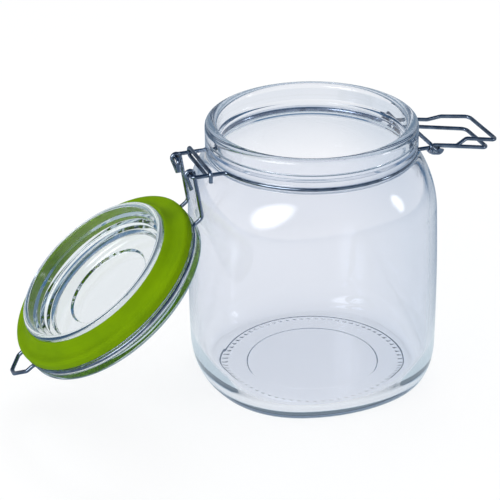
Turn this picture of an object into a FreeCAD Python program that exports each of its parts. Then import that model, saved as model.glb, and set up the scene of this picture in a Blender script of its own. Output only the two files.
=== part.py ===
"""Clip-top glass jar: rounded-square body, hinged glass lid with a soft gasket, and a wire latch.

Millimetres, +Z up. The origin is the middle of the base, on the surface that the jar stands on.
The hinge is on -X and the latch on +X. The model is symmetric about the XZ plane.
The lid is drawn closed, then swung open about the hinge to hang beside the jar.
"""
import FreeCAD, Part
import math
import os

Vector = FreeCAD.Vector
os.makedirs("parts", exist_ok=True)

# Wire
wire_diameter = 2.0
running_clearance = 0.05
seat_clearance = 0.05
pin_bend = 2.0
wire_bend = 3.0
pin_side_gap = 1.0

# Jar body: half widths at the middle of a side, and the radius of the corners there
base_taper = 9.3
middle_half_width = 61.8
middle_height = 46.0
side_bulge = 0.9
corner_radius = 50.0
corner_start_angle = 20.0
foot_height = 20.0
shoulder_height = 92.0
shoulder_fullness = 0.8
wall = 3.6
floor_thickness = 5.0
foot_ring_width = 4.5
foot_recess = 0.8
centre_ring_inset = 14.0
centre_recess = 0.5

# Neck and mouth
jar_height = 137.5
collar_radius = 52.5
collar_height = 13.8
rim_round = 2.2
edge_round = 0.5
neck_wall = 3.95
mouth_round = 1.6
bead_height = 1.4
bead_inset = 0.7

# Gasket and lid: heights are above the underside of the gasket
seal_gap = 0.3
gasket_thickness = 4.6
gasket_inset = 0.1
spigot_clearance = 4.0
gasket_round = 1.9
gasket_lip_depth = 4.6
gasket_lip_face = 0.9
gasket_lip_round = 3.0
lid_flange_height = 1.4
lid_rim_height = 13.6
lid_rim_round = 3.2
spigot_depth = 7.0
spigot_wall = 3.9
spigot_round = 1.6
lid_floor_height = 7.6
lid_floor_width = 10.5
lid_floor_step = 1.0
lid_step_width = 6.1
lid_step_height = 4.4
lid_step_slope = 1.0
lid_step_round = 0.9
lid_top_height = 14.6
lid_top_margin = 12.5

# Hinge
hinge_clearance = 4.7
hinge_leg_spacing = 30.0
stub_length = 6.0
arm_lean = 61.5
tail_lean = 72.0
tail_length = 7.5
lid_open_angle = 217.0
hinge_tie_standoff = 4.5
hinge_tie_overlap = 4.0

# Latch
latch_standoff = 5.5
latch_drop = 2.95
latch_leg_spacing = 44.0
latch_leg_run = 0.7
latch_tie_gap = 0.4
latch_tie_tail = 2.0
lever_waist = 5.0
lever_flare = 2.0
lever_shoulder = 12.0
lever_jog = 6.0
lever_rise = 3.0
lever_end_gap = 0.3
lever_rest_angle = -10.0
pin_end_gap = 0.8
yoke_offset = 2.35
yoke_side_gap = 0.5
yoke_nose_gap = 0.5
yoke_rest_angle = -1.0

# Nose of the lid wire
nose_spacing = 17.0
nose_standoff = 10.0
nose_straight = 3.0

# Worked-out sizes
wire_radius = wire_diameter / 2
loop_radius = wire_diameter + running_clearance
pin_step = pin_bend + wire_radius + pin_side_gap
base_half_width = middle_half_width - base_taper
foot_ring_radius = base_half_width - foot_ring_width
centre_ring_radius = foot_ring_radius - centre_ring_inset
groove_depth_radius = collar_radius - wire_diameter - seat_clearance
mouth_radius = groove_depth_radius - neck_wall
gasket_radius = collar_radius - gasket_inset
gasket_hole_radius = mouth_radius - spigot_clearance
spigot_inner_radius = gasket_hole_radius - spigot_wall
lid_step_radius = spigot_inner_radius - lid_step_width
lid_floor_radius = lid_step_radius - lid_floor_width
lid_top_radius = collar_radius - lid_top_margin
ring_radius = collar_radius - wire_radius
groove_height = wire_diameter + 2 * seat_clearance
groove_top = jar_height - collar_height
neck_wire_height = groove_top - groove_height / 2
bead_top = groove_top - groove_height
neck_foot = bead_top - bead_height
neck_radius = collar_radius - bead_inset
lid_base = jar_height + seal_gap
lid_groove_base = gasket_thickness + lid_flange_height
lid_wire_height = lid_base + lid_groove_base + groove_height / 2
hinge_reach = middle_half_width + hinge_clearance
hinge_height = neck_wire_height
hook_spacing = hinge_leg_spacing - 2 * pin_step
stub_spacing = hook_spacing - 2 * pin_step
hinge_tie_reach = collar_radius + hinge_tie_standoff + wire_radius
nose_reach = collar_radius + nose_standoff
latch_reach = collar_radius + latch_standoff
latch_height = neck_wire_height - latch_drop
latch_tie_reach = collar_radius + latch_tie_gap + wire_radius
latch_leg_level = latch_tie_reach + latch_leg_run
lever_loop_spacing = latch_leg_spacing - 2 * pin_step
lever_neck_spacing = lever_loop_spacing - lever_waist
lever_end_spacing = lever_neck_spacing + lever_flare
yoke_spacing = lever_neck_spacing - 2 * (wire_diameter + yoke_side_gap)
yoke_length = lid_wire_height + wire_diameter + yoke_nose_gap - (latch_height - yoke_offset)
lever_length = yoke_offset + yoke_length + wire_diameter + lever_end_gap
axis_y = Vector(0, 1, 0)
axis_z = Vector(0, 0, 1)


def save(node, shape):
    """Writes one node after a check that it is one valid solid."""
    if len(shape.Solids) != 1 or not shape.isValid():
        raise ValueError(node + " is not one valid solid")
    shape.Solids[0].exportStep("parts/" + node + ".step")


def revolve(points):
    """Solid of revolution about Z from (radius, height) points, each with an optional corner round."""
    corners = [Vector(p[0], 0, p[1]) for p in points]
    rounds = [p[2] if len(p) > 2 else 0 for p in points]
    edges = rounded_path(corners, rounds, closed=True)
    return Part.Face(Part.Wire(edges)).revolve(Vector(0, 0, 0), axis_z, 360)


def rounded_path(points, rounds, closed=False):
    """Straight runs through the points, joined at each point by an arc of the given radius."""
    count = len(points)
    starts, ends, middles = [], [], []
    for i, point in enumerate(points):
        inner = closed or 0 < i < count - 1
        if not inner or not rounds[i]:
            starts.append(point)
            ends.append(point)
            middles.append(None)
            continue
        to_last = (points[i - 1] - point).normalize()
        to_next = (points[(i + 1) % count] - point).normalize()
        half = to_last.getAngle(to_next) / 2
        cut = rounds[i] / math.tan(half)
        bisector = (to_last + to_next).normalize()
        starts.append(point + to_last * cut)
        ends.append(point + to_next * cut)
        middles.append(point + bisector * (rounds[i] / math.sin(half) - rounds[i]))
    edges = []
    for i in range(count):
        if middles[i]:
            edges.append(Part.Arc(starts[i], middles[i], ends[i]).toShape())
        if i + 1 < count or closed:
            target = starts[(i + 1) % count]
            if (target - ends[i]).Length > 1e-6:
                edges.append(Part.LineSegment(ends[i], target).toShape())
    return edges


def wire_solid(edges):
    """Round wire along a path of runs and arcs that meet in line."""
    path = Part.Wire(edges)
    first = path.OrderedEdges[0]
    start = first.valueAt(first.FirstParameter)
    along = first.tangentAt(first.FirstParameter)
    if first.Orientation == "Reversed":
        start = first.valueAt(first.LastParameter)
        along = first.tangentAt(first.LastParameter) * -1
    section = Part.Wire(Part.Circle(start, along, wire_radius).toShape())
    return Part.Solid(path.makePipeShell([section], True, False))


def both_sides(half):
    """Joins a half that ends on the XZ plane to its mirror image."""
    return half.fuse(half.mirror(Vector(0, 0, 0), axis_y)).removeSplitter()


def ring_entry(side, offset, height):
    """Bend between a leg along X at y = -offset and the ring round the near side, as its points.

    Returns the point on the leg, the middle of the bend and the point on the ring.
    """
    reach = math.sqrt((ring_radius + wire_bend) ** 2 - (offset + wire_bend) ** 2)
    centre = Vector(side * reach, -offset - wire_bend, height)
    on_leg = Vector(side * reach, -offset, height)
    outward = Vector(centre.x, centre.y, 0).normalize()
    on_ring = outward * ring_radius + axis_z * height
    bisector = ((on_leg - centre).normalize() + (on_ring - centre).normalize()).normalize()
    return on_leg, centre + bisector * wire_bend, on_ring


def ring_arc(start, end, height):
    """Near half of the ring between two of its points."""
    middle = Vector(start.x + end.x, start.y + end.y, 0).normalize()
    if middle.y > 0:
        middle = middle * -1
    return Part.Arc(start, middle * ring_radius + axis_z * height, end).toShape()


def jar_section(half_width, corner, height):
    """Rounded square of eight tangent arcs: four flat ones on the sides and four at the corners."""
    turn = math.radians(corner_start_angle)
    squareness = math.cos(turn) - math.sin(turn)
    side_radius = (half_width - squareness * corner) / (1 - squareness)
    corner_centre = (side_radius - corner) * math.sin(turn)
    side_centre = half_width - side_radius
    edges = []
    for quarter in range(4):
        spin = quarter * math.pi / 2
        arcs = [
            (side_centre, 0, side_radius, -turn, turn),
            (corner_centre, corner_centre, corner, turn, math.pi / 2 - turn),
        ]
        for x, y, radius, start, end in arcs:
            points = []
            for angle in (start, (start + end) / 2, end):
                px = x + radius * math.cos(angle)
                py = y + radius * math.sin(angle)
                turned_x = px * math.cos(spin) - py * math.sin(spin)
                turned_y = px * math.sin(spin) + py * math.cos(spin)
                points.append(Vector(turned_x, turned_y, height))
            edges.append(Part.Arc(*points).toShape())
    return Part.Wire(edges)


def side_half_width(height):
    """Half width of the barrel side: a shallow parabola that is widest at the middle height."""
    return middle_half_width - side_bulge * ((height - middle_height) / middle_height) ** 2


def jar_form(inset, floor, top_radius):
    """Loft of the body from its floor to the neck, with every wall moved in by the inset."""
    foot_steps = 4
    side_steps = 3
    shoulder_steps = 6
    stations = []
    foot_top = floor + foot_height
    foot_width = side_half_width(foot_top)
    for step in range(foot_steps):
        turn = math.pi / 2 * step / foot_steps
        width = base_half_width + (foot_width - base_half_width) * math.sin(turn)
        stations.append((width, floor + foot_height * (1 - math.cos(turn)), 0))
    for step in range(side_steps):
        height = foot_top + (shoulder_height - foot_top) * step / side_steps
        stations.append((side_half_width(height), height, 0))
    shoulder_width = side_half_width(shoulder_height)
    for step in range(shoulder_steps + 1):
        rise = math.sin(math.pi / 2 * step / shoulder_steps)
        height = shoulder_height + (neck_foot - shoulder_height) * rise
        spread = max(0.0, 1 - rise ** 2) ** shoulder_fullness
        neck = top_radius + inset
        width = neck + (shoulder_width - neck) * spread
        stations.append((width, height, rise ** 2))
    sections = []
    for width, height, roundness in stations:
        corner = corner_radius - (middle_half_width - width)
        corner = corner + (width - corner) * roundness
        sections.append(jar_section(width - inset, corner - inset, height))
    return Part.makeLoft(sections, True, False)


def glass_jar():
    """Body, neck and collar in one piece of glass, hollow, on a foot ring."""
    overlap = wall
    neck = revolve([
        (0, neck_foot - overlap),
        (neck_radius - wall, neck_foot - overlap),
        (neck_radius, neck_foot),
        (neck_radius, bead_top),
        (groove_depth_radius, bead_top),
        (groove_depth_radius, groove_top),
        (collar_radius, groove_top, edge_round),
        (collar_radius, jar_height, rim_round),
        (0, jar_height),
    ])
    outside = jar_form(0, 0, neck_radius).fuse(neck)
    bore = revolve([
        (0, neck_foot - overlap),
        (mouth_radius, neck_foot - overlap),
        (mouth_radius, jar_height - mouth_round),
        (mouth_radius + mouth_round, jar_height),
        (mouth_radius + mouth_round, jar_height + wall),
        (0, jar_height + wall),
    ])
    inside = jar_form(wall, floor_thickness, mouth_radius).fuse(bore)
    recess = revolve([
        (0, -wall),
        (foot_ring_radius, -wall),
        (foot_ring_radius, 0),
        (foot_ring_radius - foot_recess, foot_recess),
        (centre_ring_radius, foot_recess),
        (centre_ring_radius - centre_recess, foot_recess + centre_recess),
        (0, foot_recess + centre_recess),
    ])
    return outside.cut(inside).cut(recess)


def neck_wire_near():
    """Half of the neck wire: hinge stub, pin and leg, the ring, then latch leg and pin."""
    hinge_y = hinge_leg_spacing / 2
    latch_y = latch_leg_spacing / 2
    hinge_in = ring_entry(-1, hinge_y, neck_wire_height)
    latch_in = ring_entry(1, latch_y, neck_wire_height)
    stub_y = stub_spacing / 2
    hinge = rounded_path(
        [
            Vector(-hinge_reach, -stub_y, hinge_height - stub_length),
            Vector(-hinge_reach, -stub_y, hinge_height),
            Vector(-hinge_reach, -hinge_y, hinge_height),
            hinge_in[0],
        ],
        [0, pin_bend, pin_bend, 0],
    )
    pin_end = lever_loop_spacing / 2 - wire_radius - pin_end_gap
    latch = rounded_path(
        [
            latch_in[0],
            Vector(latch_leg_level, -latch_y, neck_wire_height),
            Vector(latch_reach, -latch_y, latch_height),
            Vector(latch_reach, -pin_end, latch_height),
        ],
        [0, pin_bend, pin_bend, 0],
    )
    ring = [
        Part.Arc(*hinge_in).toShape(),
        ring_arc(hinge_in[2], latch_in[2], neck_wire_height),
        Part.Arc(latch_in[2], latch_in[1], latch_in[0]).toShape(),
    ]
    return wire_solid(hinge + ring + latch)


def hinge_tie():
    """Wire clip over both hinge legs: over the top, round the far leg, and back underneath."""
    leg_y = hinge_leg_spacing / 2
    x = -hinge_tie_reach
    low = hinge_height - loop_radius
    high = hinge_height + loop_radius
    near_outer = -leg_y - loop_radius
    far_outer = leg_y + loop_radius
    edges = [
        Part.LineSegment(
            Vector(x, near_outer, low - wire_radius), Vector(x, near_outer, hinge_height)
        ).toShape(),
        Part.Arc(
            Vector(x, near_outer, hinge_height),
            Vector(x, -leg_y - loop_radius * math.sqrt(0.5), hinge_height + loop_radius * math.sqrt(0.5)),
            Vector(x, -leg_y, high),
        ).toShape(),
        Part.LineSegment(Vector(x, -leg_y, high), Vector(x, leg_y, high)).toShape(),
        Part.Arc(
            Vector(x, leg_y, high), Vector(x, far_outer, hinge_height), Vector(x, leg_y, low)
        ).toShape(),
        Part.LineSegment(Vector(x, leg_y, low), Vector(x, hinge_tie_overlap - leg_y, low)).toShape(),
    ]
    return wire_solid(edges)


def latch_tie():
    """Wire bar over both latch legs, with each end curled under its leg."""
    leg_y = latch_leg_spacing / 2
    x = latch_tie_reach
    low = neck_wire_height - loop_radius
    high = neck_wire_height + loop_radius
    outer = leg_y + loop_radius
    half = [
        Part.LineSegment(Vector(x, 0, high), Vector(x, -leg_y, high)).toShape(),
        Part.Arc(
            Vector(x, -leg_y, high), Vector(x, -outer, neck_wire_height), Vector(x, -leg_y, low)
        ).toShape(),
        Part.LineSegment(Vector(x, -leg_y, low), Vector(x, latch_tie_tail - leg_y, low)).toShape(),
    ]
    return both_sides(wire_solid(half))


def swing_open(shape):
    """Turns a closed-lid shape about the hinge pins to where the lid hangs."""
    return shape.rotate(Vector(-hinge_reach, 0, hinge_height), axis_y, -lid_open_angle)


def glass_lid():
    """Pressed lid: spigot, stepped dish underneath, and a rim with a groove for the lid wire."""
    spigot_radius = gasket_hole_radius - seat_clearance
    groove_top_height = lid_groove_base + groove_height
    inner_height = lid_floor_height - lid_floor_step
    profile = [
        (0, lid_floor_height),
        (lid_floor_radius, lid_floor_height),
        (lid_floor_radius + lid_step_slope, inner_height),
        (lid_step_radius, inner_height, lid_step_round),
        (lid_step_radius + lid_step_slope, lid_step_height, lid_step_round),
        (spigot_inner_radius, lid_step_height, lid_step_round),
        (spigot_inner_radius, -spigot_depth, spigot_round),
        (spigot_radius, -spigot_depth, spigot_round),
        (spigot_radius, gasket_thickness),
        (collar_radius, gasket_thickness, edge_round),
        (collar_radius, lid_groove_base),
        (groove_depth_radius, lid_groove_base),
        (groove_depth_radius, groove_top_height),
        (collar_radius, groove_top_height),
        (collar_radius, lid_rim_height, lid_rim_round),
        (lid_top_radius, lid_rim_height),
        (lid_top_radius - lid_step_slope, lid_top_height),
        (0, lid_top_height),
    ]
    return revolve([(p[0], p[1] + lid_base, *p[2:]) for p in profile])


def gasket():
    """Soft ring round the spigot: a flat sealing face, and a lip that slopes down into the mouth."""
    lip_base = lid_base - gasket_lip_depth
    return revolve([
        (gasket_hole_radius, lip_base),
        (gasket_hole_radius + gasket_lip_face, lip_base, edge_round),
        (mouth_radius, lid_base, gasket_lip_round),
        (gasket_radius, lid_base, gasket_round),
        (gasket_radius, lid_base + gasket_thickness, edge_round),
        (gasket_hole_radius, lid_base + gasket_thickness, edge_round),
    ])


def lid_wire():
    """Wire round the lid: V-shaped nose at the front, and an arm with a hook at each hinge pin."""
    arm_y = hook_spacing / 2
    nose_y = nose_spacing / 2
    nose_in = ring_entry(1, nose_y, lid_wire_height)
    arm_in = ring_entry(-1, arm_y, lid_wire_height)
    nose = rounded_path(
        [
            Vector(nose_reach, 0, lid_wire_height),
            Vector(nose_reach, -wire_diameter, lid_wire_height),
            Vector(nose_in[0].x + nose_straight, -nose_y, lid_wire_height),
            nose_in[0],
        ],
        [0, wire_radius, wire_diameter, 0],
    )
    ring = [
        Part.Arc(*nose_in).toShape(),
        ring_arc(nose_in[2], arm_in[2], lid_wire_height),
        Part.Arc(arm_in[2], arm_in[1], arm_in[0]).toShape(),
    ]
    pin = Vector(-hinge_reach, -arm_y, hinge_height)
    lean = math.radians(arm_lean)
    arm_along = Vector(math.cos(lean), 0, math.sin(lean))
    arm_out = Vector(-math.sin(lean), 0, math.cos(lean))
    arm_foot = pin + arm_out * loop_radius
    rise = (lid_wire_height - arm_foot.z) / arm_along.z
    arm_top = arm_foot + arm_along * rise
    arm = rounded_path([arm_in[0], arm_top, arm_foot], [0, wire_bend, 0])
    tail_turn = math.radians(tail_lean)
    tail_along = Vector(math.cos(tail_turn), 0, math.sin(tail_turn))
    tail_out = Vector(math.sin(tail_turn), 0, -math.cos(tail_turn))
    tail_foot = pin + tail_out * loop_radius
    under = (arm_out + tail_out).normalize()
    if under.dot(arm_along) > 0:
        under = under * -1
    hook = [
        Part.Arc(arm_foot, pin + under * loop_radius, tail_foot).toShape(),
        Part.LineSegment(tail_foot, tail_foot + tail_along * tail_length).toShape(),
    ]
    return both_sides(wire_solid(nose + ring + arm + hook))


def place_latch(shape, turn, pivot_x):
    """Turns a latch frame about its own pivot, then with the lever about the neck wire's pins."""
    origin = Vector(0, 0, 0)
    shape.rotate(Vector(pivot_x, 0, 0), axis_y, -turn)
    shape.rotate(origin, axis_y, -lever_rest_angle)
    shape.translate(Vector(latch_reach, 0, latch_height))
    return shape


def latch_lever():
    """Outer frame: a long open loop round each pair of pins, a side that steps in and up, and the end bar."""
    loop_y = lever_loop_spacing / 2
    neck_y = lever_neck_spacing / 2
    end_y = lever_end_spacing / 2
    end_z = loop_radius + lever_rise
    frame = rounded_path(
        [
            Vector(lever_length, 0, end_z),
            Vector(lever_length, -end_y, end_z),
            Vector(lever_shoulder + lever_jog, -neck_y, end_z),
            Vector(lever_shoulder, -loop_y, loop_radius),
            Vector(0, -loop_y, loop_radius),
        ],
        [0, wire_bend, wire_bend, wire_bend, 0],
    )
    round_neck_pin = Part.Arc(
        Vector(0, -loop_y, loop_radius), Vector(-loop_radius, -loop_y, 0), Vector(0, -loop_y, -loop_radius)
    )
    under = Part.LineSegment(
        Vector(0, -loop_y, -loop_radius), Vector(yoke_offset, -loop_y, -loop_radius)
    )
    diagonal = loop_radius * math.sqrt(0.5)
    round_yoke_pin = Part.Arc(
        Vector(yoke_offset, -loop_y, -loop_radius),
        Vector(yoke_offset + diagonal, -loop_y, -diagonal),
        Vector(yoke_offset + loop_radius, -loop_y, 0),
    )
    loop = [round_neck_pin.toShape(), under.toShape(), round_yoke_pin.toShape()]
    return place_latch(both_sides(wire_solid(frame + loop)), 0, 0)


def latch_yoke():
    """Inner frame: end bar, two sides, and a pin at each end that turns in the lever's loop."""
    side_y = yoke_spacing / 2
    pin_end = lever_loop_spacing / 2 + wire_radius + pin_end_gap
    end_x = yoke_offset + yoke_length
    half = rounded_path(
        [
            Vector(end_x, 0, 0),
            Vector(end_x, -side_y, 0),
            Vector(yoke_offset, -side_y, 0),
            Vector(yoke_offset, -pin_end, 0),
        ],
        [0, wire_bend, pin_bend, 0],
    )
    return place_latch(both_sides(wire_solid(half)), yoke_rest_angle, yoke_offset)


near_wire = neck_wire_near()
save("glass_jar", glass_jar())
save("neck_wire_near", near_wire)
save("neck_wire_far", near_wire.mirror(Vector(0, 0, 0), axis_y))
save("hinge_tie", hinge_tie())
save("latch_tie", latch_tie())
save("lid_wire", swing_open(lid_wire()))
save("glass_lid", swing_open(glass_lid()))
save("gasket", swing_open(gasket()))
save("latch_lever", latch_lever())
save("latch_yoke", latch_yoke())
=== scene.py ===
# %% [markdown]
# # A clip-top glass jar
# The frame is the imported CAD model: ten solids on four bodies (jar, lid, lever and yoke). We load
# it first, because every piece made here has to sit where its solid sits and move with its body.

# %% Load the frame
import math
import bpy
import numpy as np
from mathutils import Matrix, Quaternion, Vector


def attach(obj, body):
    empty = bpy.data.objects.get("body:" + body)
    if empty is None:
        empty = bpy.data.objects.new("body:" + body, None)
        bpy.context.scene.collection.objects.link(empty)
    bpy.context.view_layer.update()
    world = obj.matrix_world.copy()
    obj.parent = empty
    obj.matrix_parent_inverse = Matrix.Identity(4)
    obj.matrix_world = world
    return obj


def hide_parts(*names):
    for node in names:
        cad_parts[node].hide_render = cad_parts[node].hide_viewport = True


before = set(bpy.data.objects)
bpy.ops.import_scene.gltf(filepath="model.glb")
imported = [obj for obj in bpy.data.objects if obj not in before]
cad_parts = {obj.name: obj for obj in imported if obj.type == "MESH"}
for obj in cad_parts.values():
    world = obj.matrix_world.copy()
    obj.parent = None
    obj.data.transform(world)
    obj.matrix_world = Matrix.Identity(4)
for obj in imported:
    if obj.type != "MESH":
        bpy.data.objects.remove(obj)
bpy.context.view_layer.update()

# %% [markdown]
# ## Measures
# The jar was drawn in millimetres and Blender works in metres. The measures below repeat those of
# the solids, so a reader can see which number shapes which edge.

# %% Measures, in metres
MM = 0.001
WIRE = 2.0 * MM
SEAT = 0.05 * MM

JAR_HEIGHT = 137.5 * MM
COLLAR_RADIUS = 52.5 * MM
COLLAR_HEIGHT = 13.8 * MM
MOUTH_RADIUS = 46.5 * MM
BEAD_HEIGHT = 1.4 * MM
BEAD_INSET = 0.7 * MM

GROOVE_HEIGHT = WIRE + 2 * SEAT
GROOVE_RADIUS = COLLAR_RADIUS - WIRE - SEAT
GROOVE_TOP = JAR_HEIGHT - COLLAR_HEIGHT
BEAD_TOP = GROOVE_TOP - GROOVE_HEIGHT
NECK_FOOT = BEAD_TOP - BEAD_HEIGHT
NECK_RADIUS = COLLAR_RADIUS - BEAD_INSET
print("groove from", BEAD_TOP, "to", GROOVE_TOP)

# %% [markdown]
# ## One surface from a grid of points
# Blown and pressed glass has no flat facets, and facets would show at once, because glass bends
# light at every one of them. A subdivision surface could hide them, but it would also round the
# narrow wire groove. So each shape is worked out as a dense grid: rings of points, one ring for
# each point of a profile.

# %% Mesh helper
def grid_mesh(name, rings, low_pole=None, high_pole=None, loop=False):
    """Mesh from rings, an array of (ring, point, xyz).

    Quads join each ring to the next. A pole is one point that closes the first or the last ring with a
    fan of triangles. With loop, the last ring is joined to the first. The UV map runs once round each
    ring in U and from the first ring to the last in V.
    """
    count, around = rings.shape[:2]
    ids = np.arange(count * around).reshape(count, around)
    below, above = ids, np.roll(ids, -1, axis=0)
    if not loop:
        below, above = ids[:-1], ids[1:]
    quads = np.stack([below, np.roll(below, -1, 1), np.roll(above, -1, 1), above], axis=-1)
    points = rings.reshape(-1, 3)
    faces = quads.reshape(-1, 4).tolist()
    if low_pole is not None:
        tip = np.full(around, len(points))
        points = np.vstack([points, low_pole])
        faces += np.stack([tip, np.roll(ids[0], -1), ids[0]], axis=-1).tolist()
    if high_pole is not None:
        tip = np.full(around, len(points))
        points = np.vstack([points, high_pole])
        faces += np.stack([tip, ids[-1], np.roll(ids[-1], -1)], axis=-1).tolist()
    mesh = bpy.data.meshes.new(name)
    mesh.from_pydata(points.tolist(), [], faces)
    corners = np.empty(len(mesh.loops), dtype=np.int64)
    mesh.loops.foreach_get("vertex_index", corners)
    ring_id, spot = np.divmod(corners, around)
    uv = np.stack([spot / around, ring_id / max(count - 1, 1)], axis=-1)
    mesh.uv_layers.new(name="surface").data.foreach_set("uv", uv.astype(np.float32).ravel())
    mesh.shade_smooth()
    mesh.update()
    piece = bpy.data.objects.new(name, mesh)
    bpy.context.scene.collection.objects.link(piece)
    print(name, len(points), "points", len(faces), "faces")
    return piece


print("meshes that came with the frame", len(bpy.data.meshes))

# %% [markdown]
# ## Rounded profiles
# The collar, the lid and the sealing ring are turned shapes, so a profile of a few corners says it
# all. Real pressed glass has a small round at every corner. Each corner is replaced by an arc, and
# one more point just before and after the arc keeps the shading of the straight runs flat.

# %% Profile helper
def rounded_profile(corners, closed=False, steps=7, hold=0.12 * MM):
    """Points of a profile from (radius, height, round) corners.

    A corner with a round r becomes an arc that touches both runs. The cut along each run is
    r / tan(half the corner's angle), and the arc's points turn about its centre in equal steps.
    """
    spots = np.array([c[:2] for c in corners], dtype=float)
    rounds = [c[2] if len(c) > 2 else 0.0 for c in corners]
    out = []
    for i, spot in enumerate(spots):
        if not rounds[i] or (not closed and i in (0, len(spots) - 1)):
            out.append(spot[None])
            continue
        back = spots[i - 1] - spot
        ahead = spots[(i + 1) % len(spots)] - spot
        back_length, ahead_length = np.linalg.norm(back), np.linalg.norm(ahead)
        back, ahead = back / back_length, ahead / ahead_length
        half = math.acos(np.clip(back @ ahead, -1, 1)) / 2
        cut = min(rounds[i] / math.tan(half), 0.49 * back_length, 0.49 * ahead_length)
        radius = cut * math.tan(half)
        middle = (back + ahead) / np.linalg.norm(back + ahead)
        centre = spot + middle * radius / math.sin(half)
        start, end = spot + back * cut - centre, spot + ahead * cut - centre
        sweep = math.pi - 2 * half
        share = np.linspace(0, 1, steps)[:, None]
        arc = (np.sin((1 - share) * sweep) * start + np.sin(share * sweep) * end) / math.sin(sweep)
        out.append((spot + back * min(cut + hold, 0.499 * back_length))[None])
        out.append(centre + arc)
        out.append((spot + ahead * min(cut + hold, 0.499 * ahead_length))[None])
    return np.vstack(out)


def turned(profile, around):
    """Rings of a turned shape: each (r, z) goes round the Z axis at (r cos a, r sin a, z)."""
    angle = np.linspace(0, 2 * math.pi, around, endpoint=False)
    radius, height = profile[:, :1], profile[:, 1:]
    rings = np.broadcast_arrays(radius * np.cos(angle), radius * np.sin(angle), height)
    return np.stack(rings, axis=-1)


sample = rounded_profile([(0, 0), (MM, 0, 0.3 * MM), (MM, MM)])
print("a rounded corner has", len(sample) - 2, "points")

# %% [markdown]
# ## The glass body
# The body is square in plan with large round corners, and it turns into a round neck at the
# shoulder. A plan is eight tangent arcs, four flat ones on the sides and four at the corners. Its
# points are found by the direction that the wall faces, so that rows of points run smoothly from
# the square body to the round neck.

# %% Plan of the body
CORNER_TURN = math.radians(20.0)
JAR_AROUND = 288


def plan_rings(half_width, corner, height):
    """Rings of the rounded square at each height.

    A wall that faces within 20 degrees of an axis is on a flat arc, centred on that axis. Any other is
    on the corner arc, centred on the diagonal. The flat radius follows from both arcs meeting in line.
    """
    squareness = math.cos(CORNER_TURN) - math.sin(CORNER_TURN)
    half_width, corner, height = (v[:, None] for v in (half_width, corner, height))
    flat_radius = (half_width - squareness * corner) / (1 - squareness)
    diagonal = (flat_radius - corner) * math.sin(CORNER_TURN)
    facing = np.linspace(0, 2 * math.pi, JAR_AROUND, endpoint=False)
    axis_turn = np.round(facing / (math.pi / 2)) * (math.pi / 2)
    flat = np.abs(facing - axis_turn) <= CORNER_TURN
    quarter = np.floor(facing / (math.pi / 2)) * (math.pi / 2) + math.pi / 4
    centre_reach = np.where(flat, half_width - flat_radius, diagonal * math.sqrt(2))
    centre_turn = np.where(flat, axis_turn, quarter)
    radius = np.where(flat, flat_radius, corner)
    x = centre_reach * np.cos(centre_turn) + radius * np.cos(facing)
    y = centre_reach * np.sin(centre_turn) + radius * np.sin(facing)
    return np.stack([x, y, np.broadcast_to(height, x.shape)], axis=-1)


print("plan of", JAR_AROUND, "points, flat arcs turn", round(2 * math.degrees(CORNER_TURN)), "degrees")

# %% [markdown]
# ## The walls
# On the real jar the mould shapes the outside and a blast of air the inside, so the two walls run
# side by side. A solidify modifier could thicken one wall, but it would lose the flat floor and the
# sharp neck. So one function draws either wall: foot, side and shoulder, moved in by the thickness
# of the glass.

# %% Walls of the body
BASE_HALF_WIDTH = 52.5 * MM
MIDDLE_HALF_WIDTH = 61.8 * MM
MIDDLE_HEIGHT = 46.0 * MM
SIDE_BULGE = 0.9 * MM
CORNER_RADIUS = 50.0 * MM
FOOT_HEIGHT = 20.0 * MM
SHOULDER_HEIGHT = 92.0 * MM
SHOULDER_FULLNESS = 0.8
WALL = 3.6 * MM
FLOOR = 5.0 * MM
FOOT_RINGS, SIDE_RINGS, SHOULDER_RINGS = 18, 16, 36


def body_wall(inset, floor, top_radius):
    """Rings of one wall from the floor to the foot of the neck, moved in by the inset.

    The foot is a quarter ellipse, the side a shallow parabola, and the shoulder an arch whose width
    falls as (1 - rise squared) to the power of its fullness, while the plan turns from square to round.
    """
    def side(z):
        return MIDDLE_HALF_WIDTH - SIDE_BULGE * ((z - MIDDLE_HEIGHT) / MIDDLE_HEIGHT) ** 2

    turn = np.linspace(0, math.pi / 2, FOOT_RINGS, endpoint=False)
    foot_top = floor + FOOT_HEIGHT
    foot_width = BASE_HALF_WIDTH + (side(foot_top) - BASE_HALF_WIDTH) * np.sin(turn)
    foot_z = floor + FOOT_HEIGHT * (1 - np.cos(turn))
    side_z = np.linspace(foot_top, SHOULDER_HEIGHT, SIDE_RINGS, endpoint=False)
    rise = np.sin(np.linspace(0, math.pi / 2, SHOULDER_RINGS))
    neck = top_radius + inset
    spread = np.clip(1 - rise ** 2, 0, 1) ** SHOULDER_FULLNESS
    shoulder_width = neck + (side(SHOULDER_HEIGHT) - neck) * spread
    shoulder_z = SHOULDER_HEIGHT + (NECK_FOOT - SHOULDER_HEIGHT) * rise
    width = np.concatenate([foot_width, side(side_z), shoulder_width])
    height = np.concatenate([foot_z, side_z, shoulder_z])
    roundness = np.concatenate([np.zeros(len(foot_z) + len(side_z)), rise ** 2])
    corner = CORNER_RADIUS - (MIDDLE_HALF_WIDTH - width)
    corner = corner + (width - corner) * roundness
    return plan_rings(width - inset, corner - inset, height)


outer_wall = body_wall(0.0, 0.0, NECK_RADIUS)
inner_wall = body_wall(WALL, FLOOR, MOUTH_RADIUS)[::-1]
print("outer wall", outer_wall.shape, "inner wall", inner_wall.shape)

# %% [markdown]
# ## Neck, mouth and foot
# Above the shoulder the glass is round: a small bead, the groove for the wire, then the thick
# collar with its fire-polished rim. Inside the mouth a low ridge runs round, and under the floor
# the jar stands on a ring with two shallow steps that lift the middle. A bevel would round every
# edge alike, so each corner has its own round here.

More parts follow.
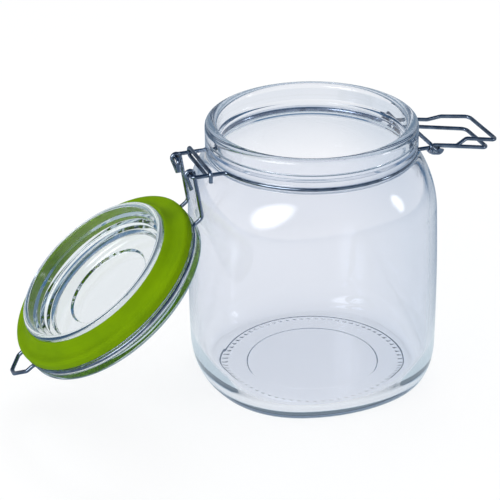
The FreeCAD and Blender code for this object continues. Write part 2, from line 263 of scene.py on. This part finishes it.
# %% Profiles of the neck and the foot
FOOT_RECESS = 0.8 * MM
MIDDLE_RECESS = 1.3 * MM
MOUTH_RIDGE = 1.3 * MM
RIDGE_LOW, RIDGE_HIGH = 125.0 * MM, 129.0 * MM
neck_profile = rounded_profile([
    (NECK_RADIUS, NECK_FOOT),
    (NECK_RADIUS, BEAD_TOP, 0.5 * MM),
    (GROOVE_RADIUS, BEAD_TOP, 0.5 * MM),
    (GROOVE_RADIUS, GROOVE_TOP, 0.5 * MM),
    (COLLAR_RADIUS, GROOVE_TOP, 0.5 * MM),
    (COLLAR_RADIUS, JAR_HEIGHT, 3.3 * MM),
    (MOUTH_RADIUS, JAR_HEIGHT, 2.4 * MM),
    (MOUTH_RADIUS, RIDGE_HIGH, 0.5 * MM),
    (MOUTH_RADIUS - MOUTH_RIDGE, RIDGE_HIGH - MOUTH_RIDGE, 0.5 * MM),
    (MOUTH_RADIUS - MOUTH_RIDGE, RIDGE_LOW + MOUTH_RIDGE, 0.5 * MM),
    (MOUTH_RADIUS, RIDGE_LOW, 0.5 * MM),
    (MOUTH_RADIUS, NECK_FOOT),
])
foot_profile = rounded_profile([
    (0.5 * MM, MIDDLE_RECESS),
    (33.5 * MM, MIDDLE_RECESS, 0.4 * MM),
    (34.0 * MM, FOOT_RECESS, 0.4 * MM),
    (43.9 * MM, FOOT_RECESS),
    (44.3 * MM, FOOT_RECESS),
    (44.8 * MM, FOOT_RECESS),
    (46.5 * MM, FOOT_RECESS),
    (47.2 * MM, FOOT_RECESS, 0.5 * MM),
    (48.0 * MM, 0.0, 0.5 * MM),
    (50.0 * MM, 0.0),
])
print("neck profile", len(neck_profile), "points, foot profile", len(foot_profile), "points")


# %% [markdown]
# ## The knurl under the foot
# A jar that stood on a smooth hot ring would slip and chip on the line, so the mould cuts short
# ridges beside the ring. A bump in the material would not bend light as ridges do, so they are
# pressed into the same skin: between two radii one point in four goes down.

# %% Ridges beside the foot ring
RIDGES = 72
KNURL_INNER, KNURL_OUTER = 44.6 * MM, 46.8 * MM
KNURL_DEPTH = 0.45 * MM


def knurled(rings):
    """Rings of the foot with ridges between two radii.

    They are lower by the depth times the positive part of a sine.
    """
    reach = np.hypot(rings[..., 0], rings[..., 1])
    band = (reach > KNURL_INNER) & (reach < KNURL_OUTER)
    wave = np.clip(np.sin(RIDGES * np.arctan2(rings[..., 1], rings[..., 0])), 0, 1)
    lowered = rings.copy()
    lowered[..., 2] -= KNURL_DEPTH * wave * band
    return lowered


foot_rings = knurled(turned(foot_profile, JAR_AROUND))
print("foot", foot_rings.shape, "lowest", foot_rings[..., 2].min())

# %% [markdown]
# ## One skin
# Foot, outer wall, neck, inner wall and floor follow each other like one long profile. Separate
# pieces would leave seams inside the glass, where light would bend twice. So all rings go into one
# grid, closed by one point in the middle of the foot and one in the middle of the floor.

# %% The jar in one skin
FLOOR_RINGS = 24
floor_share = np.linspace(0.97, 0.02, FLOOR_RINGS)[:, None, None]
floor_rings = inner_wall[-1:] * np.array([1, 1, 0]) * floor_share + np.array([0, 0, FLOOR])
jar = grid_mesh(
    "jar_body",
    np.concatenate([
        foot_rings, outer_wall, turned(neck_profile, JAR_AROUND)[1:-1], inner_wall, floor_rings,
    ]),
    low_pole=[[0, 0, MIDDLE_RECESS]],
    high_pole=[[0, 0, FLOOR]],
)
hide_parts("glass_jar")
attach(jar, "jar")

# %% [markdown]
# ## The way the lid opens
# Two hooks of the lid wire turn on pins of the neck wire, beside the jar. The lid could be an object
# that is turned, but here every piece stays at the origin, unturned. So a helper turns the points
# themselves about the hinge line.

# %% Swing of the lid
GASKET_GAP = 0.3 * MM
HINGE_REACH = 66.5 * MM
LID_BASE = JAR_HEIGHT + GASKET_GAP
HINGE = np.array([-HINGE_REACH, 0.0, GROOVE_TOP - GROOVE_HEIGHT / 2])
LID_OPEN_ANGLE = math.radians(217.0)


def swung_open(points):
    """Points of the closed lid turned about the hinge line, to where the lid hangs."""
    turn = -LID_OPEN_ANGLE
    x, y, z = np.moveaxis(points - HINGE, -1, 0)
    ahead = x * math.cos(turn) + z * math.sin(turn)
    up = z * math.cos(turn) - x * math.sin(turn)
    return np.stack([ahead, y, up], axis=-1) + HINGE


print("hinge to the middle of the closed lid", np.linalg.norm(HINGE - np.array([0, 0, LID_BASE])))

# %% [markdown]
# ## The lid
# The lid is pressed glass: a spigot that drops into the mouth, a dish with terraces underneath, a
# thick flange with a groove for its wire, and a raised top. It could be drawn where it hangs, but a
# tilted profile is hard to read. So it is drawn closed and then swung open, as the hinge would do
# it.

# %% Lid
TURNED_AROUND = 176
LID_FLOOR, LID_TOP = 7.6 * MM, 14.6 * MM
SPIGOT_DEPTH = 7.0 * MM
GASKET_THICKNESS = 4.6 * MM
GASKET_HOLE = 42.5 * MM
GASKET_RADIUS = 52.4 * MM
LID_GROOVE = GASKET_THICKNESS + 1.4 * MM
lid_profile = rounded_profile([
    (0.5 * MM, LID_FLOOR),
    (22.0 * MM, LID_FLOOR, 0.6 * MM),
    (23.0 * MM, 6.6 * MM, 0.6 * MM),
    (32.5 * MM, 6.6 * MM, 0.9 * MM),
    (33.5 * MM, 4.4 * MM, 0.7 * MM),
    (34.0 * MM, 4.4 * MM, 0.4 * MM),
    (35.6 * MM, 3.5 * MM, 0.4 * MM),
    (35.7 * MM, 1.7 * MM, 0.4 * MM),
    (37.5 * MM, 0.7 * MM, 0.4 * MM),
    (37.6 * MM, -1.3 * MM, 0.4 * MM),
    (39.3 * MM, -2.3 * MM, 0.4 * MM),
    (39.4 * MM, -SPIGOT_DEPTH, 1.4 * MM),
    (GASKET_HOLE - SEAT, -SPIGOT_DEPTH, 1.6 * MM),
    (GASKET_HOLE - SEAT, GASKET_THICKNESS, 0.4 * MM),
    (COLLAR_RADIUS, GASKET_THICKNESS, 0.5 * MM),
    (COLLAR_RADIUS, LID_GROOVE, 0.5 * MM),
    (GROOVE_RADIUS, LID_GROOVE, 0.5 * MM),
    (GROOVE_RADIUS, LID_GROOVE + GROOVE_HEIGHT, 0.5 * MM),
    (COLLAR_RADIUS, LID_GROOVE + GROOVE_HEIGHT, 0.5 * MM),
    (COLLAR_RADIUS, 13.6 * MM, 2.4 * MM),
    (40.0 * MM, 13.6 * MM, 0.8 * MM),
    (39.0 * MM, LID_TOP, 0.8 * MM),
    (0.5 * MM, LID_TOP),
])
lid_lift = np.array([0, LID_BASE])
lid = grid_mesh(
    "lid_glass",
    swung_open(turned(lid_profile + lid_lift, TURNED_AROUND)),
    low_pole=swung_open(np.array([[0, 0, LID_FLOOR + LID_BASE]])),
    high_pole=swung_open(np.array([[0, 0, LID_TOP + LID_BASE]])),
)
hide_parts("glass_lid")
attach(lid, "lid")

# %% [markdown]
# ## The sealing ring
# The ring is soft silicone, pulled over the spigot, with a lip that leans on the glass and a flat
# face for the rim. A squashed torus would be quick, but its lip would not meet the spigot. A closed
# profile, turned like the lid and swung open with it, keeps both the lip and the flat face.

# %% Sealing ring
LIP_DEPTH, LIP_FACE = 4.6 * MM, 0.9 * MM
ring_profile = rounded_profile([
    (GASKET_HOLE, -LIP_DEPTH, 0.2 * MM),
    (GASKET_HOLE + LIP_FACE, -LIP_DEPTH, 0.5 * MM),
    (MOUTH_RADIUS, 0.0, 6.0 * MM),
    (GASKET_RADIUS, 0.0, 1.9 * MM),
    (GASKET_RADIUS, GASKET_THICKNESS, 0.5 * MM),
    (GASKET_HOLE, GASKET_THICKNESS, 0.5 * MM),
], closed=True)
ring = grid_mesh("sealing_ring", swung_open(turned(ring_profile + lid_lift, TURNED_AROUND)), loop=True)
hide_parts("gasket")
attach(ring, "lid")

# %% [markdown]
# ## Finishes
# Glass, silicone and drawn wire each get their own material, but none of them is perfectly even.
# The nodes for uneven patches could be copied into each material. One node group is easier to
# change: noise at a chosen size, which gives a roughness and a height for bump.

# %% Shared group for uneven surfaces
def uneven_group():
    """Node group: noise of a given size, mapped to a roughness between two values, and as a height."""
    group = bpy.data.node_groups.new("uneven_surface", "ShaderNodeTree")
    sockets = group.interface
    sockets.new_socket("Vector", in_out="INPUT", socket_type="NodeSocketVector")
    for label, value in (("Size", 40.0), ("Detail", 3.0), ("Smooth", 0.0), ("Rough", 0.1)):
        sockets.new_socket(label, in_out="INPUT", socket_type="NodeSocketFloat").default_value = value
    sockets.new_socket("Roughness", in_out="OUTPUT", socket_type="NodeSocketFloat")
    sockets.new_socket("Height", in_out="OUTPUT", socket_type="NodeSocketFloat")
    nodes, links = group.nodes, group.links
    given, result = nodes.new("NodeGroupInput"), nodes.new("NodeGroupOutput")
    noise, remap = nodes.new("ShaderNodeTexNoise"), nodes.new("ShaderNodeMapRange")
    links.new(given.outputs["Vector"], noise.inputs["Vector"])
    links.new(given.outputs["Size"], noise.inputs["Scale"])
    links.new(given.outputs["Detail"], noise.inputs["Detail"])
    links.new(noise.outputs["Fac"], remap.inputs["Value"])
    remap.inputs["From Min"].default_value = 0.3
    remap.inputs["From Max"].default_value = 0.7
    links.new(given.outputs["Smooth"], remap.inputs["To Min"])
    links.new(given.outputs["Rough"], remap.inputs["To Max"])
    links.new(remap.outputs["Result"], result.inputs["Roughness"])
    links.new(noise.outputs["Fac"], result.inputs["Height"])
    return group


UNEVEN = uneven_group()
print("group", UNEVEN.name, "with", len(UNEVEN.nodes), "nodes")

# %% [markdown]
# ## Steps that every material takes
# Each finish here is a node material with uneven patches, often a bump, and a colour that follows a
# value. These steps could be written out each time, but four short helpers keep each material down
# to what is special about it.

# %% Material helpers
def new_material(name):
    """New node material: returns it with its nodes, links, Principled shader and output."""
    material = bpy.data.materials.new(name)
    material.use_nodes = True
    nodes, links = material.node_tree.nodes, material.node_tree.links
    return material, nodes, links, nodes["Principled BSDF"], nodes["Material Output"]


def add_uneven(nodes, links, vector, size, detail, smooth, rough):
    """Places the shared group with its own values."""
    patch = nodes.new("ShaderNodeGroup")
    patch.node_tree = UNEVEN
    links.new(vector, patch.inputs["Vector"])
    for label, value in (("Size", size), ("Detail", detail), ("Smooth", smooth), ("Rough", rough)):
        patch.inputs[label].default_value = value
    return patch


def add_bump(nodes, links, patch, shader, strength, distance):
    """Bends the shader's normal by the height of a patch."""
    bump = nodes.new("ShaderNodeBump")
    bump.inputs["Strength"].default_value = strength
    bump.inputs["Distance"].default_value = distance
    links.new(patch.outputs["Height"], bump.inputs["Height"])
    links.new(bump.outputs["Normal"], shader.inputs["Normal"])


def colour_ramp(nodes, links, value, start, end):
    """Colour that follows a value from one (position, colour) to another."""
    ramp = nodes.new("ShaderNodeValToRGB")
    for element, (position, colour) in zip(ramp.color_ramp.elements, (start, end)):
        element.position = position
        element.color = (*colour, 1)
    links.new(value, ramp.inputs["Fac"])
    return ramp.outputs["Color"]


print("materials that came with the frame", len(bpy.data.materials))

# %% [markdown]
# ## Glass
# Pressed glass is clear, faintly blue or green where it is thick, and a little wavy from the mould.
# A tint on the surface alone would colour thin and thick glass alike. So most of the colour comes
# from a volume, which takes more light the further a ray travels.

# %% Glass
GLASS_IOR = 1.5
GLASS_DENSITY = 20.0
MIRROR_LIMIT = 2.5
PASSING_TINT = (0.93, 0.95, 0.96)


def glass_material(name, tint, depth_tint, ripple):
    """Clear pressed glass: full transmission, faint tint, and a slow ripple from the mould.

    Shadow rays pass through a tinted Transparent shader, because light goes through a real jar and
    only its edges keep some of it. Rays mirrored inside the glass three times pass too, so that thick
    corners glow.
    """
    material, nodes, links, shader, output = new_material(name)
    place = nodes.new("ShaderNodeTexCoord").outputs["Object"]
    shader.inputs["Base Color"].default_value = (*tint, 1)
    shader.inputs["Transmission Weight"].default_value = 1.0
    shader.inputs["IOR"].default_value = GLASS_IOR
    patch = add_uneven(nodes, links, place, 34.0, 2.0, 0.0, 0.03)
    links.new(patch.outputs["Roughness"], shader.inputs["Roughness"])
    add_bump(nodes, links, patch, shader, 1.0, ripple)
    clear = nodes.new("ShaderNodeBsdfTransparent")
    clear.inputs["Color"].default_value = (*PASSING_TINT, 1)
    path = nodes.new("ShaderNodeLightPath")
    mix = nodes.new("ShaderNodeMixShader")
    deep, passes = nodes.new("ShaderNodeMath"), nodes.new("ShaderNodeMath")
    deep.operation, passes.operation = "GREATER_THAN", "MAXIMUM"
    deep.inputs[1].default_value = MIRROR_LIMIT
    links.new(path.outputs["Glossy Depth"], deep.inputs[0])
    links.new(path.outputs["Is Shadow Ray"], passes.inputs[0])
    links.new(deep.outputs[0], passes.inputs[1])
    links.new(passes.outputs[0], mix.inputs["Fac"])
    links.new(shader.outputs["BSDF"], mix.inputs[1])
    links.new(clear.outputs["BSDF"], mix.inputs[2])
    links.new(mix.outputs["Shader"], output.inputs["Surface"])
    depth = nodes.new("ShaderNodeVolumeAbsorption")
    depth.inputs["Color"].default_value = (*depth_tint, 1)
    depth.inputs["Density"].default_value = GLASS_DENSITY
    links.new(depth.outputs["Volume"], output.inputs["Volume"])
    return material


jar_glass = glass_material("clear_jar_glass", (0.92, 0.928, 0.963), (0.60, 0.70, 0.77), 0.05 * MM)
lid_glass = glass_material("clear_lid_glass", (0.915, 0.935, 0.955), (0.80, 0.90, 0.89), 0.04 * MM)
jar.data.materials.append(jar_glass)
lid.data.materials.append(lid_glass)
print(jar.name, "gets", jar_glass.name, "and", lid.name, "gets", lid_glass.name)

# %% [markdown]
# ## Silicone
# Moulded silicone is matt, and handling leaves patches that shine a little more. One flat green
# would look like paint. Two greens that follow the shared noise, and a fine grain as bump, give it
# a soft skin.

# %% Silicone ring
def silicone_material():
    """Matt lime silicone: a moulded skin with a fine grain, and patches a little darker and shinier."""
    material, nodes, links, shader, _ = new_material("lime_silicone")
    place = nodes.new("ShaderNodeTexCoord").outputs["Object"]
    patch = add_uneven(nodes, links, place, 60.0, 4.0, 0.72, 0.86)
    shader.inputs["Specular IOR Level"].default_value = 0.06
    links.new(patch.outputs["Roughness"], shader.inputs["Roughness"])
    darker, lighter = (0.140, 0.262, 0.0004), (0.175, 0.310, 0.0008)
    colour = colour_ramp(nodes, links, patch.outputs["Height"], (0.3, darker), (0.7, lighter))
    links.new(colour, shader.inputs["Base Color"])
    grain = add_uneven(nodes, links, place, 1800.0, 2.0, 0.0, 1.0)
    add_bump(nodes, links, grain, shader, 0.4, 0.05 * MM)
    return material


ring.data.materials.append(silicone_material())
print(ring.name, "gets", ring.data.materials[0].name)

# %% [markdown]
# ## Drawn wire
# The wire is steel, pulled through a die and bent while cold, so it is bright with faint smears. It
# could be swept along curves again, but the solids already have its true bends. So no mesh is made,
# and only the material changes.

# %% Drawn wire
def wire_material():
    """Bright drawn steel: metal with fine unevenness from the die and soft smears of handling."""
    material, nodes, links, shader, _ = new_material("drawn_steel_wire")
    place = nodes.new("ShaderNodeTexCoord").outputs["Object"]
    shader.inputs["Metallic"].default_value = 1.0
    patch = add_uneven(nodes, links, place, 180.0, 4.0, 0.08, 0.20)
    links.new(patch.outputs["Roughness"], shader.inputs["Roughness"])
    darker, lighter = (0.13, 0.165, 0.225), (0.38, 0.44, 0.52)
    colour = colour_ramp(nodes, links, patch.outputs["Height"], (0.3, darker), (0.7, lighter))
    links.new(colour, shader.inputs["Base Color"])
    add_bump(nodes, links, patch, shader, 0.25, 0.03 * MM)
    return material


steel = wire_material()
WIRE_NODES = [
    "neck_wire_near", "neck_wire_far", "hinge_tie", "latch_tie",
    "lid_wire", "latch_lever", "latch_yoke",
]
for name in WIRE_NODES:
    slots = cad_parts[name].data.materials
    slots.clear()
    slots.append(steel)
print(len(WIRE_NODES), "wires get", steel.name)

# %% [markdown]
# ## Studio
# Clear glass is seen by what it bends: white behind it gives a bright field, and dark surroundings
# draw the lines at its edges. A photographer would put up cards. Here Light Path tells how a ray
# arrived, so that each kind of ray can meet its own surroundings, and the picture stays white.

# %% Kinds of rays
scene = bpy.context.scene
scene.view_settings.view_transform = "Standard"


def seen_directly(nodes, links):
    """Ray kinds as 0 or 1: camera, mirrored, mirrored or passed through glass, and any of the three."""
    path = nodes.new("ShaderNodeLightPath")
    first, second, mirror = (nodes.new("ShaderNodeMath") for _ in range(3))
    first.operation = second.operation = "MAXIMUM"
    mirror.operation = "MULTIPLY"
    links.new(path.outputs["Is Glossy Ray"], mirror.inputs[0])
    links.new(path.outputs["Is Reflection Ray"], mirror.inputs[1])
    links.new(path.outputs["Is Glossy Ray"], first.inputs[0])
    links.new(path.outputs["Is Transmission Ray"], first.inputs[1])
    links.new(first.outputs[0], second.inputs[0])
    links.new(path.outputs["Is Camera Ray"], second.inputs[1])
    return path.outputs["Is Camera Ray"], mirror.outputs[0], first.outputs[0], second.outputs[0]


print("view transform", scene.view_settings.view_transform)

# %% [markdown]
# ## Floor
# The jar stands on a white table. The floor could be plain white paper, but then the foot would
# have no edge. It glows for rays that see it straight or through glass, and only takes light and
# shadow for all others. It lies just below the foot, because two faces in one plane would fight.

# %% Floor plane
FLOOR_GAP = 0.2 * MM
FLOOR_HALF = 3.0
floor_corners = np.array([(-1, -1, 0), (1, -1, 0), (1, 1, 0), (-1, 1, 0)]) * FLOOR_HALF
floor_mesh = bpy.data.meshes.new("floor")
floor_mesh.from_pydata(floor_corners.tolist(), [], [(0, 1, 2, 3)])
floor = bpy.data.objects.new("floor", floor_mesh)
floor.location.z = -FLOOR_GAP
scene.collection.objects.link(floor)
material, nodes, links, shader, output = new_material("pale_floor")
shader.inputs["Base Color"].default_value = (0.86, 0.87, 0.88, 1)
shader.inputs["Roughness"].default_value = 0.9
floor_glow = nodes.new("ShaderNodeEmission")
floor_glow.inputs["Strength"].default_value = 1.05
print("floor at", floor.location.z)

# %% [markdown]
# ## The floor through the glass
# A photographer would let a sheet of paper run away behind the jar into the dark, and hold a grey card
# at the right. Real cards would show in the picture. So shade is painted into the glow that rays
# through the glass see. A ramp on the distance from the jar paints the dusky far end. A slanted strip
# paints a grey shade at the right, which darkens the right side of the jar.

# %% Far floor and grey strip
spot, reach = nodes.new("ShaderNodeTexCoord"), nodes.new("ShaderNodeVectorMath")
reach.operation = "LENGTH"
links.new(spot.outputs["Object"], reach.inputs[0])
distance = reach.outputs["Value"]
# Painted shade: the glow fades from white near the jar to dusky blue far away, for rays through the
# glass.
sweep = colour_ramp(nodes, links, distance, (0.28, (1, 1, 1)), (0.85, (0.06, 0.17, 0.31)))
side = nodes.new("ShaderNodeVectorMath")
side.operation = "DOT_PRODUCT"
side.inputs[1].default_value = (1.0, -0.36, 0.0)
links.new(spot.outputs["Object"], side.inputs[0])
# Painted shade: a grey strip on the floor at the right, in the glow that rays through the glass see.
painted_shade_strip, shade = nodes.new("ShaderNodeMapRange"), nodes.new("ShaderNodeMix")
painted_shade_strip.interpolation_type = "SMOOTHSTEP"
painted_shade_strip.inputs["From Min"].default_value = 0.015
painted_shade_strip.inputs["From Max"].default_value = 0.09
links.new(side.outputs["Value"], painted_shade_strip.inputs["Value"])
shade.data_type, shade.blend_type = "RGBA", "MULTIPLY"
links.new(painted_shade_strip.outputs["Result"], shade.inputs["Factor"])
links.new(sweep, shade.inputs["A"])
shade.inputs["B"].default_value = (0.79, 0.84, 0.885, 1)
print("grey strip", tuple(shade.inputs["B"].default_value))

# %% [markdown]
# ## The floor in mirrors
# Glass also mirrors the floor, most of all where it is seen at a slant. One even floor would wash out
# the dark lines at its edges. So light and shade are painted into the glow that mirrored rays see. A
# pale pool of painted light under the jar keeps the corners of the foot pale. Painted dark surroundings
# beyond it make the painted reflections at the edges of the glass. The camera finds plain white.

# %% Plate and plain white
# Painted light and shade for mirrored rays: pale near the jar, dark blue beyond it.
painted_mirror_pool = colour_ramp(nodes, links, distance, (0.08, (0.68, 0.76, 0.81)), (0.16, (0.05, 0.14, 0.26)))
by_camera, by_mirror, _, by_any = seen_directly(nodes, links)
mirror_view, camera_view = nodes.new("ShaderNodeMix"), nodes.new("ShaderNodeMix")
mirror_view.data_type = camera_view.data_type = "RGBA"
links.new(by_mirror, mirror_view.inputs["Factor"])
links.new(shade.outputs["Result"], mirror_view.inputs["A"])
links.new(painted_mirror_pool, mirror_view.inputs["B"])
links.new(by_camera, camera_view.inputs["Factor"])
links.new(mirror_view.outputs["Result"], camera_view.inputs["A"])
camera_view.inputs["B"].default_value = (1, 1, 1, 1)
links.new(camera_view.outputs["Result"], floor_glow.inputs["Color"])
print("floor colours use", len(nodes), "nodes")

# %% [markdown]
# ## Glow and shadow together
# A floor that only glowed would show no shadow, and one that only took light would be grey. So near
# the jar a quarter of it takes light, and far away all of it glows, which hides the horizon.

# %% Floor material
share, mix = nodes.new("ShaderNodeMath"), nodes.new("ShaderNodeMixShader")
share.operation = "MULTIPLY"
fade = nodes.new("ShaderNodeMapRange")
for label, value in (("From Min", 0.6), ("From Max", 1.6), ("To Min", 0.75), ("To Max", 1.0)):
    fade.inputs[label].default_value = value
links.new(distance, fade.inputs["Value"])
links.new(by_any, share.inputs[0])
links.new(fade.outputs["Result"], share.inputs[1])
links.new(share.outputs[0], mix.inputs["Fac"])
links.new(shader.outputs["BSDF"], mix.inputs[1])
links.new(floor_glow.outputs["Emission"], mix.inputs[2])
links.new(mix.outputs["Shader"], output.inputs["Surface"])
floor_mesh.materials.append(material)
print(material.name, "has", len(nodes), "nodes")

# %% [markdown]
# ## Sky
# Above the table the room fades from white to a dusky blue. A picture of a room would bring its own
# shapes into the glass, so a ramp on the height of the ray is enough. Mirrored rays find it half as
# bright.

# %% Sky
MIRRORED_SKY = 0.5
world = bpy.data.worlds.new("studio")
world.use_nodes = True
scene.world = world
nodes, links = world.node_tree.nodes, world.node_tree.links
background = nodes["Background"]
split = nodes.new("ShaderNodeSeparateXYZ")
links.new(nodes.new("ShaderNodeTexCoord").outputs["Generated"], split.inputs[0])
low_sky, high_sky = (0.95, 0.96, 0.98), (0.08, 0.18, 0.34)
sky = colour_ramp(nodes, links, split.outputs["Z"], (0.02, low_sky), (0.60, high_sky))
by_camera, by_mirror, by_glass, _ = seen_directly(nodes, links)
dim = nodes.new("ShaderNodeMath")
dim.operation = "MULTIPLY_ADD"
dim.inputs[1].default_value = MIRRORED_SKY - 1.0
dim.inputs[2].default_value = 1.0
links.new(by_mirror, dim.inputs[0])
links.new(dim.outputs[0], background.inputs["Strength"])
glass_sky, camera_sky = nodes.new("ShaderNodeMix"), nodes.new("ShaderNodeMix")
glass_sky.data_type = camera_sky.data_type = "RGBA"
links.new(by_glass, glass_sky.inputs["Factor"])
glass_sky.inputs["A"].default_value = (0.60, 0.61, 0.62, 1)
links.new(sky, glass_sky.inputs["B"])
links.new(by_camera, camera_sky.inputs["Factor"])
links.new(glass_sky.outputs["Result"], camera_sky.inputs["A"])
camera_sky.inputs["B"].default_value = (1, 1, 1, 1)
links.new(camera_sky.outputs["Result"], background.inputs["Color"])
print(world.name, "has", len(nodes), "nodes")

# %% [markdown]
# ## Lamps
# A large rolled softbox at the left makes the slanted highlight on the shoulder, and a small one at
# the right a spot. Point lamps would leave hard dots. A third softbox, behind and above, lights the
# ring. It is kept out of mirrors, where it would leave a white band.

# %% Softboxes
def softbox(name, place, aim, width, height, power, roll=0.0):
    """Area lamp at a place, facing the aim and rolled about that line.

    Its cloth fades at the edges: the glow is a smooth step of the distance from the middle, full within
    a quarter of its width.
    """
    lamp = bpy.data.lights.new(name, "AREA")
    lamp.shape = "RECTANGLE"
    lamp.size, lamp.size_y, lamp.energy = width, height, power
    lamp.use_nodes = True
    nodes, links = lamp.node_tree.nodes, lamp.node_tree.links
    offset, length = nodes.new("ShaderNodeVectorMath"), nodes.new("ShaderNodeVectorMath")
    offset.operation, length.operation = "SUBTRACT", "LENGTH"
    offset.inputs[1].default_value = (0.5, 0.5, 0)
    links.new(nodes.new("ShaderNodeNewGeometry").outputs["Parametric"], offset.inputs[0])
    links.new(offset.outputs["Vector"], length.inputs[0])
    glow = nodes.new("ShaderNodeMapRange")
    glow.interpolation_type = "SMOOTHSTEP"
    for label, value in (("From Min", 0.5), ("From Max", 0.25), ("To Min", 0.0), ("To Max", 1.0)):
        glow.inputs[label].default_value = value
    links.new(length.outputs["Value"], glow.inputs["Value"])
    links.new(glow.outputs["Result"], nodes["Emission"].inputs["Strength"])
    holder = bpy.data.objects.new(name, lamp)
    holder.location = place
    facing = (Vector(aim) - Vector(place)).to_track_quat("-Z", "Y")
    holder.rotation_euler = (facing @ Quaternion((0, 0, 1), math.radians(roll))).to_euler()
    scene.collection.objects.link(holder)
    return holder


LAMP_AIM = (0, 0, 0.08)
key_lamp = softbox("key_softbox", (-0.92, -0.56, 0.60), LAMP_AIM, 1.30, 0.72, 15.0, roll=40.0)
side_lamp = softbox("side_softbox", (0.80, -0.45, 0.30), LAMP_AIM, 0.22, 0.40, 1.4)
back_lamp = softbox("back_softbox", (0.35, 0.65, 1.15), LAMP_AIM, 0.80, 0.50, 12.0)
back_lamp.visible_glossy = back_lamp.visible_transmission = False
print("lamps", [lamp.name for lamp in (key_lamp, side_lamp, back_lamp)])

# %% [markdown]
# ## Camera
# The camera looks down at the jar from a metre away. Turning it would move the jar in the picture
# but also tilt its sides, so the lens is shifted instead. The focal length and the shift are in
# pixels of a picture 500 wide.

# %% Camera
PICTURE = 500
MIDDLE_X, MIDDLE_Y = 311.8, 242.7
SENSOR = 36.0
TARGET = Vector((0, 0, 0.070))
AZIMUTH, ELEVATION, DISTANCE, FOCAL = math.radians(-21), math.radians(25.99), 1.0, 1984.0
camera = bpy.data.objects.new("camera", bpy.data.cameras.new("camera"))
scene.collection.objects.link(camera)
back = Vector((
    math.sin(AZIMUTH) * math.cos(ELEVATION),
    -math.cos(AZIMUTH) * math.cos(ELEVATION),
    math.sin(ELEVATION),
))
camera.location = TARGET + back * DISTANCE
camera.rotation_euler = back.to_track_quat("Z", "Y").to_euler()
camera.data.sensor_width = SENSOR
camera.data.lens = FOCAL / PICTURE * SENSOR
camera.data.shift_x = (PICTURE / 2 - MIDDLE_X) / PICTURE
camera.data.shift_y = (MIDDLE_Y - PICTURE / 2) / PICTURE
scene.camera = camera
print("camera at", tuple(camera.location), "lens", camera.data.lens)
